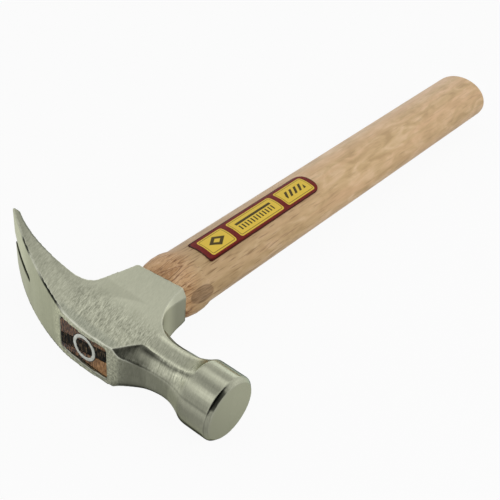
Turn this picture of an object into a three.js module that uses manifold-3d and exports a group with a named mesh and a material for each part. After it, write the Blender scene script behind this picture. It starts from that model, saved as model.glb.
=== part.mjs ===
// A rip claw hammer with a hickory handle, lying on its side.
// Lengths are in millimetres. While the pieces are made, X runs along the head from the claw (-X)
// to the striking face (+X), Y runs down the handle from the crown of the head, and Z runs through
// the cheeks, with the middle of the eye on the crown at zero.
import * as THREE from "three";
import { mergeVertices } from "three/addons/utils/BufferGeometryUtils.js";
import Module from "manifold-3d";

const wasm = await Module();
wasm.setup();

// The head: crown, cheeks and skirt
const headReach = 66.8; // eye middle to striking face
const crownPollReach = 17.3; // eye middle to the end of the crown on the poll side
const crownClawReach = 13; // eye middle to where the claw leaves the crown
const crownRise = 0.9; // swell of the crown over its ends
const crownEndDrop = 0.5; // drop of the crown where the claw leaves it
const cheekHalf = 10.7; // half thickness across the cheeks
const cheekClawHalf = 12.2; // the same where the claw leaves the crown
const skirtClawLength = 45.3; // crown to the skirt's end on the claw side
const skirtPollLength = 47.8; // and on the poll side
const skirtPollReach = 14.2; // eye middle to the skirt's poll side at its end
const skirtClawReach = 13.6; // eye middle to the skirt's claw side at its end
const skirtSwell = 3.3; // added reach of the claw side at the claw's hollow
const skirtCornerRadius = 1;
const skirtHalf = 10.8; // half thickness across the skirt
const skirtReliefStart = 12; // crown to where the cheeks start to thin into the skirt
const skirtReliefEnd = 29; // crown to where they have the skirt's thickness
const skirtReliefSlope = 0.16; // how fast that thinning fades out along the claw
const skirtFacet = 4; // facets beside the skirt's hollow side, at its end, through the cheeks
const skirtFacetWidthShare = 0.55; // their width along the head, of that
const skirtFacetStartShare = 0.62; // share of the hollow side's curve where those facets start
const throatReach = 31.8; // eye middle to where the skirt's hollow side runs out on the neck
const throatDrop = 20; // crown to that place
const throatShares = [1.01, 0.52, 0.19, 1.12]; // pull of the hollow side's curve

// The claw
const clawReach = 78.7; // eye middle to the claw's tips
const clawDrop = 29.1; // crown to the tips
const clawTipThickness = 0.8; // of their blunt edge
const clawCurveShares = [0.6, 0.314]; // pull of the claw's outer curve, of its reach and drop
const clawTipBevel = 5.6; // length of the chisel bevel at the tips
const clawBevelDrop = 29.1; // crown to the inner end of that bevel
const clawRootReach = 29; // eye middle to the deepest place under the claw
const clawRootDrop = 18.9; // crown to that place
const clawBellyShares = [0.7, 0.98]; // pull of the claw's inner curve, of its reach and root drop
const hollowDepth = 9; // how far the round between claw and skirt runs up the skirt
const clawHalf = 18.3; // half width of the claw where it is widest
const clawWideLength = 15; // from the tips to that place
const clawTipHalf = 16.2; // half width at the tips
const clawFlareShares = [0.75, 0.96]; // pull of the flare, of the wide place's reach and half width
const clawTipShares = [0.93, 0.975]; // pull of the tips' round, of the claw's reach and half width

// The nail slot
const slotLength = 29; // from the tips to the root of the slot
const slotRootHalf = 0.85; // half width near the root
const slotRootRound = 1; // length of the root's round
const slotRootShare = 0.4; // half width at the very root, of the half width beside it
const slotTipHalf = 2.5; // half width at the tips
const slotBevelShare = 0.5; // how fast each wall leans back on the handle side, of the depth
const slotStraightShare = 0.35; // share of the claw's thickness with straight walls

// The poll: neck, bell and striking face
const pollAxisDrop = 15.6; // crown to the axis of the bell
const bellRadius = 14.35;
const bellLength = 15.3; // full round of the bell, face bevel and all
const faceBevel = 1.7;
const neckHalf = 9.7; // half size of the neck across its flats, at the waist
const neckFlatHalf = 4.7; // half width of each flat there
const neckRootHandleDrop = 24.4; // crown to the neck's handle side where it leaves the skirt
const neckRootFlatHalf = 9; // half width of that side there
const neckRootEdgeDrop = 22; // crown to the upper edge of that side's facet there
const neckStartDepth = 1.5; // how far the neck's solid starts inside the cheeks
const neckFacetStart = 0.1; // width of the facets at their points
// Rows along the neck, from the crown's end to the bell. Each row has the place along the neck and
// what it still has of the root's form: dip, crown flat, crown edge, handle side, handle flat,
// handle edge and thickness. The last entry is what it already has of the bell.
const neckShares = [
  [0, 1, 1, 1, 1, 1, 1, 1, 0],
  [0.094, 0.95, 0.6, 0.42, 1, 1, 1, 0.78, 0],
  [0.19, 0.68, 0.44, 0, 1, 0.8, 1, 0.54, 0],
  [0.342, 0.3, 0.21, 0, 1, 0.27, 0.15, 0.19, 0],
  [0.45, 0.12, 0.09, 0, 0.6, 0.05, 0, 0, 0],
  [0.605, 0, 0, 0, 0, 0, 0, 0, 0],
  [0.74, 0, 0, 0, 0, 0, 0, 0, 0.06],
  [0.839, 0, 0, 0, 0, 0, 0, 0, 0.3],
  [0.942, 0, 0, 0, 0, 0, 0, 0, 0.68],
  [1, 0, 0, 0, 0, 0, 0, 0, 1],
];

// The eye
const eyeCrownHalfLength = 14.1;
const eyeCrownHalfWidth = 8.3;
const eyeWaistDrop = 18; // crown to the narrowest place of the eye
const eyeWaistHalfLength = 12.4;
const eyeWaistHalfWidth = 7.6;
const eyeSkirtHalfLength = 12;
const eyeSkirtHalfWidth = 8.8;
const eyeCrownCornerRadius = 1.2;
const eyeCornerRadius = 2.6;

// The handle
const handleLength = 330; // crown to the end of the butt
const handleShift = -0.4; // middle of the grip from the middle of the eye
const tenonRecess = 0.5; // wood below the crown
const shoulderHalfLength = 13.7; // half sizes of the wood where it meets the skirt
const shoulderHalfWidth = 10.3;
const shoulderSquareness = 3.6; // exponent of the section there; an oval has 2
const gripStart = 63.5; // crown to where the shaped shoulder has become the oval grip
const gripHalfLength = 16.25; // half sizes of the oval there
const gripHalfWidth = 12.25;
const gripSquareness = 2;
const shoulderFlatLean = 0.16; // slope of the flat on the shoulder's poll side
const shoulderFlatTurn = 0.14; // how far it turns towards the cheek side, as a slope too
const buttHalfLength = 17.4;
const buttHalfWidth = 13.2;
const buttRound = 3.6; // round of the butt's edge
// Rows of the shoulder: place along it, share of the growth to the oval, share of the squareness left
const shoulderShares = [
  [0, 0, 1],
  [0.25, 0.42, 0.9],
  [0.5, 0.75, 0.7],
  [0.75, 0.94, 0.42],
  [0.9, 1, 0.18],
  [1, 1, 0],
];

// The wedges
const kerfDepth = 31; // depth of the saw cut in the tenon
const wedgeThickness = 5.8; // wooden wedge at the crown
const wedgeTipThickness = 1.4;
const wedgeLength = 27;
const wedgeTurn = -0.21; // the saw cut runs a little askew across the eye, in radians
const ringRadius = 6.5; // steel ring wedge, outside
const ringWall = 1.7;
const ringTipWall = 0.8; // wall of its driven edge
const ringLength = 12;
const ringProud = 0.3; // ring above the wood
const ringShift = 0.6; // its middle from the middle of the eye

// The label
const labelStart = 69.8; // crown to the label
const labelLength = 86;
const labelHalfWidth = 7.5;
const labelShift = 1; // middle of the label from the middle of the eye
const labelCornerRadius = 1.6; // corners towards the head
const labelButtRadius = 6; // corners towards the butt
const labelThickness = 0.3;

const fitClearance = 0.3;
const labelClearance = 0.12;
const overrun = 4; // how far a cut runs past what it cuts

// Facets
const sides = 8; // of the neck
const pointsPerSide = 6;
const pointsPerCorner = 12;
const curveSteps = 12;
const neckSteps = 22;
const slotSteps = 10;
const buttSteps = 5;
const ringSteps = 40;

// A closed mesh as a solid for joining and cutting.
function solid(geometry) {
  geometry.deleteAttribute("normal");
  geometry.deleteAttribute("uv");
  const merged = mergeVertices(geometry);
  return new wasm.Manifold(
    new wasm.Mesh({
      numProp: 3,
      vertProperties: merged.attributes.position.array,
      triVerts: new Uint32Array(merged.index.array),
    }),
  );
}

// A solid as a named piece of the hammer.
function piece(name, made, material) {
  const mesh = made.getMesh();
  const geometry = new THREE.BufferGeometry();
  geometry.setAttribute("position", new THREE.BufferAttribute(mesh.vertProperties, 3));
  geometry.setIndex(new THREE.BufferAttribute(mesh.triVerts, 1));
  geometry.computeVertexNormals();
  const result = new THREE.Mesh(geometry, material);
  result.name = name;
  return result;
}

// The triangles that close a flat ring of points.
function capFaces(ring) {
  const normal = new THREE.Vector3();
  ring.forEach((p, i) => normal.add(new THREE.Vector3().crossVectors(p, ring[(i + 1) % ring.length])));
  normal.normalize();
  const across = new THREE.Vector3().subVectors(ring[1], ring[0]).normalize();
  const up = new THREE.Vector3().crossVectors(normal, across);
  const flat = ring.map((p) => new THREE.Vector2(p.dot(across), p.dot(up)));
  return THREE.ShapeUtils.triangulateShape(flat, []);
}

// A solid through rings of equally many points, each ring turning left round the way they run.
function loft(rings) {
  const count = rings[0].length;
  const last = (rings.length - 1) * count;
  const index = [];
  for (const [a, b, c] of capFaces(rings[0])) index.push(a, c, b);
  for (const [a, b, c] of capFaces(rings.at(-1))) index.push(last + a, last + b, last + c);
  for (let start = 0; start < last; start += count) {
    for (let i = 0; i < count; i++) {
      const a = start + i;
      const b = start + ((i + 1) % count);
      index.push(a, b, b + count, a, b + count, a + count);
    }
  }
  const geometry = new THREE.BufferGeometry().setFromPoints(rings.flat());
  geometry.setIndex(index);
  return solid(geometry);
}

// An outline drawn along the head and down the handle, thick through the cheeks.
function slabThroughCheeks(shape, half) {
  const geometry = new THREE.ExtrudeGeometry(shape, {
    depth: 2 * half,
    bevelEnabled: false,
    curveSegments: curveSteps,
  });
  geometry.translate(0, 0, -half);
  return solid(geometry);
}

// An outline drawn along the head and through the cheeks, deep down the handle.
function slabDownHandle(shape, from, to) {
  const geometry = new THREE.ExtrudeGeometry(shape, {
    depth: to - from,
    bevelEnabled: false,
    curveSegments: curveSteps,
  });
  geometry.rotateX(Math.PI / 2);
  geometry.translate(0, to, 0);
  return solid(geometry);
}

// How far the skirt's end, and the wood that seats on it, lean from square to the handle.
const skirtLean = (skirtPollLength - skirtClawLength) / (skirtPollReach + skirtClawReach);
const skirtLength = skirtClawLength + skirtClawReach * skirtLean; // in the eye's middle

// A ring across the handle: a rectangle with round corners.
function cornerRing(drop, halfLength, halfWidth, radius, lean = 0) {
  const ring = [];
  for (let corner = 0; corner < 4; corner++) {
    for (let i = 0; i < pointsPerCorner; i++) {
      const turn = ((corner + (i + 0.5) / pointsPerCorner) * Math.PI) / 2;
      const wide = Math.sign(Math.cos(turn)) * (halfWidth - radius) + radius * Math.cos(turn);
      const long = Math.sign(Math.sin(turn)) * (halfLength - radius) + radius * Math.sin(turn);
      ring.push(new THREE.Vector3(long, drop + lean * long, wide));
    }
  }
  return ring;
}

// A ring across the handle: an oval, squarer as its exponent grows.
function ovalRing(drop, halfLength, halfWidth, squareness, lean = 0) {
  const ring = [];
  const count = 4 * pointsPerCorner;
  for (let i = 0; i < count; i++) {
    const turn = ((i + 0.5) / count) * 2 * Math.PI;
    const wide = Math.sign(Math.cos(turn)) * Math.abs(Math.cos(turn)) ** (2 / squareness);
    const long = Math.sign(Math.sin(turn)) * Math.abs(Math.sin(turn)) ** (2 / squareness);
    const x = handleShift + long * halfLength;
    ring.push(new THREE.Vector3(x, drop + lean * x, wide * halfWidth));
  }
  return ring;
}

// Where a curve that runs towards the claw passes a reach from the middle of the eye.
function dropAt(curve, reach) {
  let low = 0;
  let high = 1;
  for (let step = 0; step < 24; step++) {
    const middle = (low + high) / 2;
    if (curve.getPoint(middle).x > -reach) low = middle;
    else high = middle;
  }
  return curve.getPoint(low).y;
}

// A row of a table at any place along it, with an even curve through the rows.
function rowAt(rows, place) {
  let i = 0;
  while (i < rows.length - 2 && rows[i + 1][0] < place) i++;
  const span = rows[i + 1][0] - rows[i][0];
  const t = (place - rows[i][0]) / span;
  const slope = (k, column) => {
    const before = rows[Math.max(k - 1, 0)];
    const after = rows[Math.min(k + 1, rows.length - 1)];
    return (after[column] - before[column]) / (after[0] - before[0]);
  };
  return rows[i].map((value, column) => {
    const rise = rows[i + 1][column] - value;
    const first = slope(i, column) * span;
    const second = slope(i + 1, column) * span;
    const curve = value + t * first + t * t * (3 * rise - 2 * first - second);
    return curve + t * t * t * (first + second - 2 * rise);
  });
}

// The claw's two faces, seen from the side, both run from the cheeks to the tips.
const clawOuter = new THREE.QuadraticBezierCurve(
  new THREE.Vector2(-crownClawReach, crownEndDrop),
  new THREE.Vector2(-clawReach * clawCurveShares[0], clawDrop * clawCurveShares[1]),
  new THREE.Vector2(-clawReach, clawDrop),
);
const clawInner = new THREE.QuadraticBezierCurve(
  new THREE.Vector2(-clawRootReach, clawRootDrop),
  new THREE.Vector2(-clawReach * clawBellyShares[0], clawRootDrop * clawBellyShares[1]),
  new THREE.Vector2(clawTipBevel - clawReach, clawBevelDrop),
);

// The hollow side of the skirt, from its end to where it runs out on the neck.
const throat = new THREE.CubicBezierCurve(
  new THREE.Vector2(skirtPollReach, skirtPollLength - skirtCornerRadius),
  new THREE.Vector2(
    skirtPollReach * throatShares[0],
    throatDrop + (skirtPollLength - throatDrop) * throatShares[1],
  ),
  new THREE.Vector2(
    skirtPollReach + (throatReach - skirtPollReach) * throatShares[2],
    throatDrop * throatShares[3],
  ),
  new THREE.Vector2(throatReach, throatDrop),
);

// The side view of the head without its neck and bell.
function sideOutline() {
  const outline = new THREE.Shape();
  const skirtTop = skirtClawReach + skirtSwell;
  outline.moveTo(crownPollReach, 0);
  outline.quadraticCurveTo(0, -2 * crownRise, -crownClawReach, crownEndDrop);
  outline.quadraticCurveTo(clawOuter.v1.x, clawOuter.v1.y, clawOuter.v2.x, clawOuter.v2.y);
  outline.lineTo(clawTipThickness / 2 - clawReach, clawDrop + clawTipThickness);
  outline.lineTo(clawInner.v2.x, clawInner.v2.y);
  outline.quadraticCurveTo(clawInner.v1.x, clawInner.v1.y, clawInner.v0.x, clawInner.v0.y);
  outline.quadraticCurveTo(-skirtTop, clawRootDrop, -skirtTop, clawRootDrop + hollowDepth);
  const roundDrop = skirtCornerRadius * skirtLean;
  outline.lineTo(-skirtClawReach, skirtClawLength - skirtCornerRadius);
  outline.quadraticCurveTo(
    -skirtClawReach,
    skirtClawLength,
    skirtCornerRadius - skirtClawReach,
    skirtClawLength + roundDrop,
  );
  outline.lineTo(skirtPollReach - skirtCornerRadius, skirtPollLength - roundDrop);
  outline.quadraticCurveTo(
    skirtPollReach,
    skirtPollLength,
    skirtPollReach,
    skirtPollLength - skirtCornerRadius,
  );
  outline.bezierCurveTo(throat.v1.x, throat.v1.y, throat.v2.x, throat.v2.y, throat.v3.x, throat.v3.y);
  const facet = rowAt(neckShares, neckShares[2][0]);
  outline.lineTo(neckPlace(facet[0]), pollAxisDrop - neckFlatHalf);
  outline.lineTo(crownPollReach, 0);
  return outline;
}

// The head seen from its crown: cheeks that widen into the claw.
function planOutline() {
  const outline = new THREE.Shape();
  const wideReach = clawReach - clawWideLength;
  const flareReach = wideReach * clawFlareShares[0];
  const flareHalf = clawHalf * clawFlareShares[1];
  const roundReach = clawReach * clawTipShares[0];
  const roundHalf = clawHalf * clawTipShares[1];
  outline.moveTo(throatReach, -neckHalf);
  outline.lineTo(throatReach, neckHalf);
  outline.lineTo(crownPollReach, cheekHalf);
  outline.quadraticCurveTo(0, cheekHalf, -crownClawReach, cheekClawHalf);
  outline.quadraticCurveTo(-flareReach, flareHalf, -wideReach, clawHalf);
  outline.quadraticCurveTo(-roundReach, roundHalf, -clawReach, clawTipHalf);
  outline.lineTo(-clawReach, -clawTipHalf);
  outline.quadraticCurveTo(-roundReach, -roundHalf, -wideReach, -clawHalf);
  outline.quadraticCurveTo(-flareReach, -flareHalf, -crownClawReach, -cheekClawHalf);
  outline.quadraticCurveTo(0, -cheekHalf, crownPollReach, -cheekHalf);
  return outline;
}

// The reach of a place along the neck.
function neckPlace(share) {
  return crownPollReach + share * (headReach - bellLength - crownPollReach);
}

// A ring across the poll: an eight-sided section that turns into the bell's round.
function pollRing(reach, row, radius) {
  const [, dip, crownFlat, crownEdge, handleSide, handleFlat, handleEdge, thickness, round] = row;
  const mix = (root, waist, share) => waist + (root - waist) * share;
  const crown = mix(neckFacetStart, pollAxisDrop - neckHalf, dip);
  const crownHalf = mix(cheekHalf - neckFacetStart, neckFlatHalf, crownFlat);
  const crownSideEdge = mix(2 * neckFacetStart, pollAxisDrop - neckFlatHalf, crownEdge);
  const handle = mix(neckRootHandleDrop, pollAxisDrop + neckHalf, handleSide);
  const handleHalf = mix(neckRootFlatHalf, neckFlatHalf, handleFlat);
  const handleSideEdge = mix(neckRootEdgeDrop, pollAxisDrop + neckFlatHalf, handleEdge);
  const cheek = mix(cheekHalf, neckHalf, thickness);
  const corners = [
    [handle, handleHalf],
    [handleSideEdge, cheek],
    [crownSideEdge, cheek],
    [crown, crownHalf],
    [crown, -crownHalf],
    [crownSideEdge, -cheek],
    [handleSideEdge, -cheek],
    [handle, -handleHalf],
  ];
  const ring = [];
  corners.forEach(([drop, width], side) => {
    const [nextDrop, nextWidth] = corners[(side + 1) % sides];
    for (let i = 0; i < pointsPerSide; i++) {
      const t = i / pointsPerSide;
      const turn = ((side + 0.5 + t) / sides) * 2 * Math.PI;
      const flatDrop = drop + (nextDrop - drop) * t;
      const flatWidth = width + (nextWidth - width) * t;
      const y = mix(pollAxisDrop + radius * Math.cos(turn), flatDrop, round);
      const z = mix(radius * Math.sin(turn), flatWidth, round);
      ring.push(new THREE.Vector3(reach, y, z));
    }
  });
  return ring;
}

// Neck, bell and bevelled striking face.
function poll() {
  const rings = [pollRing(crownPollReach - neckStartDepth, neckShares[0], bellRadius)];
  for (let step = 0; step <= neckSteps; step++) {
    const row = rowAt(neckShares, step / neckSteps);
    rings.push(pollRing(neckPlace(row[0]), row, bellRadius));
  }
  const full = neckShares.at(-1);
  rings.push(pollRing(headReach - faceBevel, full, bellRadius));
  rings.push(pollRing(headReach, full, bellRadius - faceBevel));
  return loft(rings);
}

// What the cheeks lose above the skirt, on the side that z points to.
function skirtRelief(side) {
  const far = clawHalf + overrun;
  const section = (x, rise) => {
    const ring = [
      new THREE.Vector3(x, skirtReliefStart, side * (cheekClawHalf + rise)),
      new THREE.Vector3(x, skirtReliefEnd, side * (skirtHalf + rise)),
      new THREE.Vector3(x, skirtPollLength + overrun, side * (skirtHalf + rise)),
      new THREE.Vector3(x, skirtPollLength + overrun, side * (far + rise)),
      new THREE.Vector3(x, skirtReliefStart, side * (far + rise)),
    ];
    return side > 0 ? ring : ring.reverse();
  };
  const fade = clawReach - crownClawReach;
  return loft([
    section(-clawReach, fade * skirtReliefSlope),
    section(-crownClawReach, 0),
    section(throatReach, 0),
  ]);
}

// What the edge beside the skirt's hollow side loses to its facet, on the side that z points to.
function skirtFacetCut(side) {
  const section = (x, y, facet) => {
    const far = x + overrun * skirtFacetWidthShare;
    const near = x - (facet + overrun) * skirtFacetWidthShare;
    const ring = [
      new THREE.Vector3(far, y, side * (skirtHalf - facet - overrun)),
      new THREE.Vector3(far, y, side * (skirtHalf + overrun)),
      new THREE.Vector3(near, y, side * (skirtHalf + overrun)),
    ];
    return side > 0 ? ring.reverse() : ring;
  };
  const rings = [];
  for (let step = 0; step <= curveSteps; step++) {
    const share = step / curveSteps;
    const place = throat.getPoint(skirtFacetStartShare * (1 - share));
    rings.push(section(place.x, place.y, skirtFacet * share));
  }
  rings.push(section(skirtPollReach, skirtPollLength + overrun, skirtFacet));
  return loft(rings);
}

// The rings of the eye, waisted so that the wedged tenon can't come out, or of the tenon inside it.
function eyeRings(start, past, clearance) {
  const crownLength = eyeCrownHalfLength - clearance;
  const crownWidth = eyeCrownHalfWidth - clearance;
  const waistLength = eyeWaistHalfLength - clearance;
  const waistWidth = eyeWaistHalfWidth - clearance;
  const skirtLong = eyeSkirtHalfLength - clearance;
  const skirtWide = eyeSkirtHalfWidth - clearance;
  return [
    cornerRing(start, crownLength, crownWidth, eyeCrownCornerRadius),
    cornerRing(eyeWaistDrop, waistLength, waistWidth, eyeCornerRadius),
    cornerRing(skirtLength, skirtLong, skirtWide, eyeCornerRadius, skirtLean),
    cornerRing(skirtLength + past, skirtLong, skirtWide, eyeCornerRadius, skirtLean),
  ];
}

// The tapered slot between the claw's tines, bevelled where its edges grip a nail.
function nailSlot() {
  const rings = [];
  const rootReach = clawReach - slotLength;
  for (let step = 0; step <= slotSteps; step++) {
    const share = step / slotSteps;
    const end = clawReach + overrun;
    const reach = end + (rootReach - end) * share;
    const along = (reach - rootReach) / slotLength;
    const half = slotRootHalf + (slotTipHalf - slotRootHalf) * along;
    const outer = dropAt(clawOuter, reach);
    const inner = dropAt(clawInner, Math.min(reach, clawReach - clawTipBevel));
    const straight = outer + (inner - outer) * slotStraightShare;
    rings.push(slotRing(-reach, half, outer - overrun, straight, inner + overrun));
    if (step === slotSteps) {
      const rootHalf = half * slotRootShare;
      rings.push(slotRing(slotRootRound - reach, rootHalf, outer - overrun, straight, inner + overrun));
    }
  }
  return loft(rings);
}

// A ring across the nail slot: straight walls, then walls that lean back.
function slotRing(x, half, start, straight, end) {
  const pastHalf = half + (end - straight) * slotBevelShare;
  return [
    new THREE.Vector3(x, start, half),
    new THREE.Vector3(x, start, -half),
    new THREE.Vector3(x, straight, -half),
    new THREE.Vector3(x, end, -pastHalf),
    new THREE.Vector3(x, end, pastHalf),
    new THREE.Vector3(x, straight, half),
  ];
}

function head() {
  const thick = clawHalf + overrun;
  const side = slabThroughCheeks(sideOutline(), thick);
  const plan = slabDownHandle(planOutline(), -overrun - 2 * crownRise, skirtPollLength + overrun);
  let body = side.intersect(plan);
  for (const zSide of [1, -1]) body = body.subtract(skirtRelief(zSide)).subtract(skirtFacetCut(zSide));
  const mouth = cornerRing(-overrun, eyeCrownHalfLength, eyeCrownHalfWidth, eyeCrownCornerRadius);
  const eye = loft([mouth, ...eyeRings(0, overrun, 0)]);
  return body.add(poll()).subtract(eye).subtract(nailSlot());
}

// The rings of the grip from the end of the shoulder to the butt's round.
function gripRings(grow) {
  const roundStart = handleLength - buttRound;
  return [
    ovalRing(gripStart, gripHalfLength + grow, gripHalfWidth + grow, gripSquareness),
    ovalRing(roundStart, buttHalfLength + grow, buttHalfWidth + grow, gripSquareness),
  ];
}

// Tenon, squared shoulder, oval grip and rounded butt.
function handleBlank() {
  const shoulderStart = skirtLength + fitClearance;
  const rings = eyeRings(tenonRecess, fitClearance, fitClearance);
  for (const [place, growth, square] of shoulderShares) {
    const drop = shoulderStart + (gripStart - shoulderStart) * place;
    const halfLength = shoulderHalfLength + (gripHalfLength - shoulderHalfLength) * growth;
    const halfWidth = shoulderHalfWidth + (gripHalfWidth - shoulderHalfWidth) * growth;
    const squareness = gripSquareness + (shoulderSquareness - gripSquareness) * square;
    rings.push(ovalRing(drop, halfLength, halfWidth, squareness, skirtLean * (1 - place)));
  }
  rings.push(gripRings(0)[1]);
  for (let step = 1; step <= buttSteps; step++) {
    const turn = ((step / buttSteps) * Math.PI) / 2;
    const drop = handleLength - buttRound + buttRound * Math.sin(turn);
    const inset = buttRound * (1 - Math.cos(turn));
    rings.push(ovalRing(drop, buttHalfLength - inset, buttHalfWidth - inset, gripSquareness));
  }
  return loft(rings);
}

// What the shoulder's poll side loses to its flat, which runs out where the grip starts.
function shoulderFlat() {
  const seat = skirtPollLength + fitClearance;
  const past = gripStart + overrun;
  const reach = handleShift + gripHalfLength;
  const seatReach = reach - (gripStart - seat) * shoulderFlatLean;
  const pastReach = reach + overrun * shoulderFlatLean;
  const section = (z) => {
    const shift = -z * shoulderFlatTurn;
    return [
      new THREE.Vector3(seatReach + shift, seat, z),
      new THREE.Vector3(pastReach + overrun, seat, z),
      new THREE.Vector3(pastReach + overrun, past, z),
      new THREE.Vector3(pastReach + shift, past, z),
    ];
  };
  return loft([section(-gripHalfWidth - overrun), section(gripHalfWidth + overrun)]);
}

// A taper across the tenon, as the wooden wedge or as the saw cut that it fills.
function taper(depth, clearance) {
  const half = wedgeThickness / 2 + clearance;
  const slope = (wedgeThickness - wedgeTipThickness) / 2 / wedgeLength;
  const outline = new THREE.Shape();
  outline.moveTo(-half - slope * overrun, -overrun);
  outline.lineTo(half + slope * overrun, -overrun);
  outline.lineTo(half - slope * depth, depth);
  outline.lineTo(slope * depth - half, depth);
  const geometry = new THREE.ExtrudeGeometry(outline, {
    depth: 2 * (eyeCrownHalfLength + overrun),
    bevelEnabled: false,
  });
  geometry.translate(0, 0, -eyeCrownHalfLength - overrun);
  geometry.rotateY(Math.PI / 2 + wedgeTurn);
  return solid(geometry);
}

// The steel ring wedge, or the round cut that it makes when it is driven in.
function ringSolid(clearance, top) {
  const outside = ringRadius + clearance;
  const profile = [
    new THREE.Vector2(ringRadius - ringWall - clearance, top),
    new THREE.Vector2(ringRadius - ringTipWall - clearance, ringLength + clearance),
    new THREE.Vector2(outside, ringLength + clearance),
    new THREE.Vector2(outside, top),
    new THREE.Vector2(ringRadius - ringWall - clearance, top),
  ];
  const geometry = new THREE.LatheGeometry(profile.reverse(), ringSteps);
  geometry.translate(ringShift, 0, 0);
  return solid(geometry);
}

function handle() {
  const tenonCuts = taper(kerfDepth, fitClearance).add(ringSolid(fitClearance, -overrun));
  return handleBlank().subtract(shoulderFlat()).subtract(tenonCuts);
}

function woodenWedge() {
  const tenon = loft(eyeRings(tenonRecess, fitClearance, fitClearance));
  return taper(wedgeLength, 0).intersect(tenon).subtract(ringSolid(fitClearance, -overrun));
}

function ringWedge() {
  return ringSolid(0, tenonRecess - ringProud);
}

// The outline of the label as it lies on the handle, seen square to the cheeks.
function labelOutline() {
  const outline = new THREE.Shape();
  const left = labelShift - labelHalfWidth;
  const right = labelShift + labelHalfWidth;
  const end = labelStart + labelLength;
  outline.moveTo(left + labelCornerRadius, labelStart);
  outline.lineTo(right - labelCornerRadius, labelStart);
  outline.quadraticCurveTo(right, labelStart, right, labelStart + labelCornerRadius);
  outline.lineTo(right, end - labelButtRadius);
  outline.quadraticCurveTo(right, end, right - labelButtRadius, end);
  outline.lineTo(left + labelButtRadius, end);
  outline.quadraticCurveTo(left, end, left, end - labelButtRadius);
  outline.lineTo(left, labelStart + labelCornerRadius);
  outline.quadraticCurveTo(left, labelStart, left + labelCornerRadius, labelStart);
  return outline;
}

// A thin skin that follows the upper side of the grip.
function label() {
  const skin = loft(gripRings(labelClearance + labelThickness)).subtract(loft(gripRings(labelClearance)));
  const above = slabThroughCheeks(labelOutline(), buttHalfWidth + overrun);
  const top = new THREE.BoxGeometry(2 * labelHalfWidth + overrun, labelLength + overrun, buttHalfWidth + overrun);
  top.translate(labelShift, labelStart + labelLength / 2, (buttHalfWidth + overrun) / 2);
  return skin.intersect(above).intersect(solid(top));
}

const steel = new THREE.MeshStandardMaterial({ color: 0xa9a999, roughness: 0.38, metalness: 1 });
const ringSteel = new THREE.MeshStandardMaterial({ color: 0xc2c4ba, roughness: 0.4, metalness: 1 });
const hickory = new THREE.MeshStandardMaterial({ color: 0xc2a27c, roughness: 0.6, metalness: 0 });
const wedgeWood = new THREE.MeshStandardMaterial({ color: 0x2c1d14, roughness: 0.75, metalness: 0 });
const printedPaper = new THREE.MeshStandardMaterial({ color: 0x6e1d14, roughness: 0.45, metalness: 0 });

// Lying on its side, with the middle of its lowest plane at the origin.
const hammer = new THREE.Group();
hammer.add(piece("head", head(), steel));
hammer.add(piece("handle", handle(), hickory));
hammer.add(piece("wooden_wedge", woodenWedge(), wedgeWood));
hammer.add(piece("ring_wedge", ringWedge(), ringSteel));
hammer.add(piece("handle_label", label(), printedPaper));
const extent = new THREE.Box3().setFromObject(hammer);
const centre = extent.getCenter(new THREE.Vector3());
hammer.position.set(-centre.x, -centre.y, -extent.min.z);

const ripClawHammer = new THREE.Group();
ripClawHammer.add(hammer);
export default ripClawHammer;
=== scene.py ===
"""A rip claw hammer with a hickory handle, lying on its side on a pale studio floor."""

import math
from types import SimpleNamespace

import bpy
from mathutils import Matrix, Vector

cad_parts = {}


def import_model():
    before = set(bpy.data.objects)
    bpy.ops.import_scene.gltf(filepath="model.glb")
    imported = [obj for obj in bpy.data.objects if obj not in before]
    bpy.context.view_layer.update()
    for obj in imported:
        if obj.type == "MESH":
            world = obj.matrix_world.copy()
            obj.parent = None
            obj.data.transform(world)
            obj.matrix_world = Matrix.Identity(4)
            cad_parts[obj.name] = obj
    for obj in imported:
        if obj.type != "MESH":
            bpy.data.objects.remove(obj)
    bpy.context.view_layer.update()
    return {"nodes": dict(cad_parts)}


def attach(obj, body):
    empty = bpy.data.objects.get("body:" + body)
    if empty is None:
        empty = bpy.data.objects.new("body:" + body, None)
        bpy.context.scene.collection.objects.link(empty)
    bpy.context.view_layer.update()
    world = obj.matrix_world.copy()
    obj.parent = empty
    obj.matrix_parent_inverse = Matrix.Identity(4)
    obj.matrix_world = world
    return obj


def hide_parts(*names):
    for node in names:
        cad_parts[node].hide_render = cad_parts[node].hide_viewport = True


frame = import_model()

MM = 0.001

# Where the photograph's camera stands, in metres and degrees
CAMERA_PLACE = (0.2082, -0.3365, 0.27277)
CAMERA_TURN = (52.645, -4.718, 39.198)
SENSOR_WIDTH = 36.0
LENS = 62.886
NEAREST_SEEN = 0.01

# How the solids are refined: points this near are one, edges past these angles stay sharp,
# and the tenon's end is the face turned this far from the butt
MERGE_DISTANCE = 0.002 * MM
SHARP_ANGLE = 40.0
HANDLE_SHARP_ANGLE = 32.0
BEVEL_STEPS = 2
WEDGE_BEVEL = 0.15 * MM
RING_BEVEL = 0.2 * MM
TENON_END_NORMAL = -0.99

# The head: how finely it is remade, how far its forged edges are rounded, and how wide the band is that
# edge wear, painted highlights and painted shades follow
ROUNDING_FACTOR = 0.5
HEAD_GRID = 0.475 * MM
HEAD_ROUNDING = 3
WEAR_ROUNDING = 6
WEAR_DEPTH = 0.12 * MM

# The neck's flare into the bell is rounded most on the crown's side, between these turns in degrees
FLARE_MIDDLE = 53.0 * MM
FLARE_REACH = 10.0 * MM
FLARE_STEEPNESS = 1.5
FLARE_ROUNDING = 94
FLARE_RISE = (-10.0, 12.0)
FLARE_FALL = (62.0, 76.0)

# The plane half-way through the hammer, and the bell's axis
MIDDLE = 18.3 * MM
BELL_AXIS = -149.3 * MM

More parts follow.
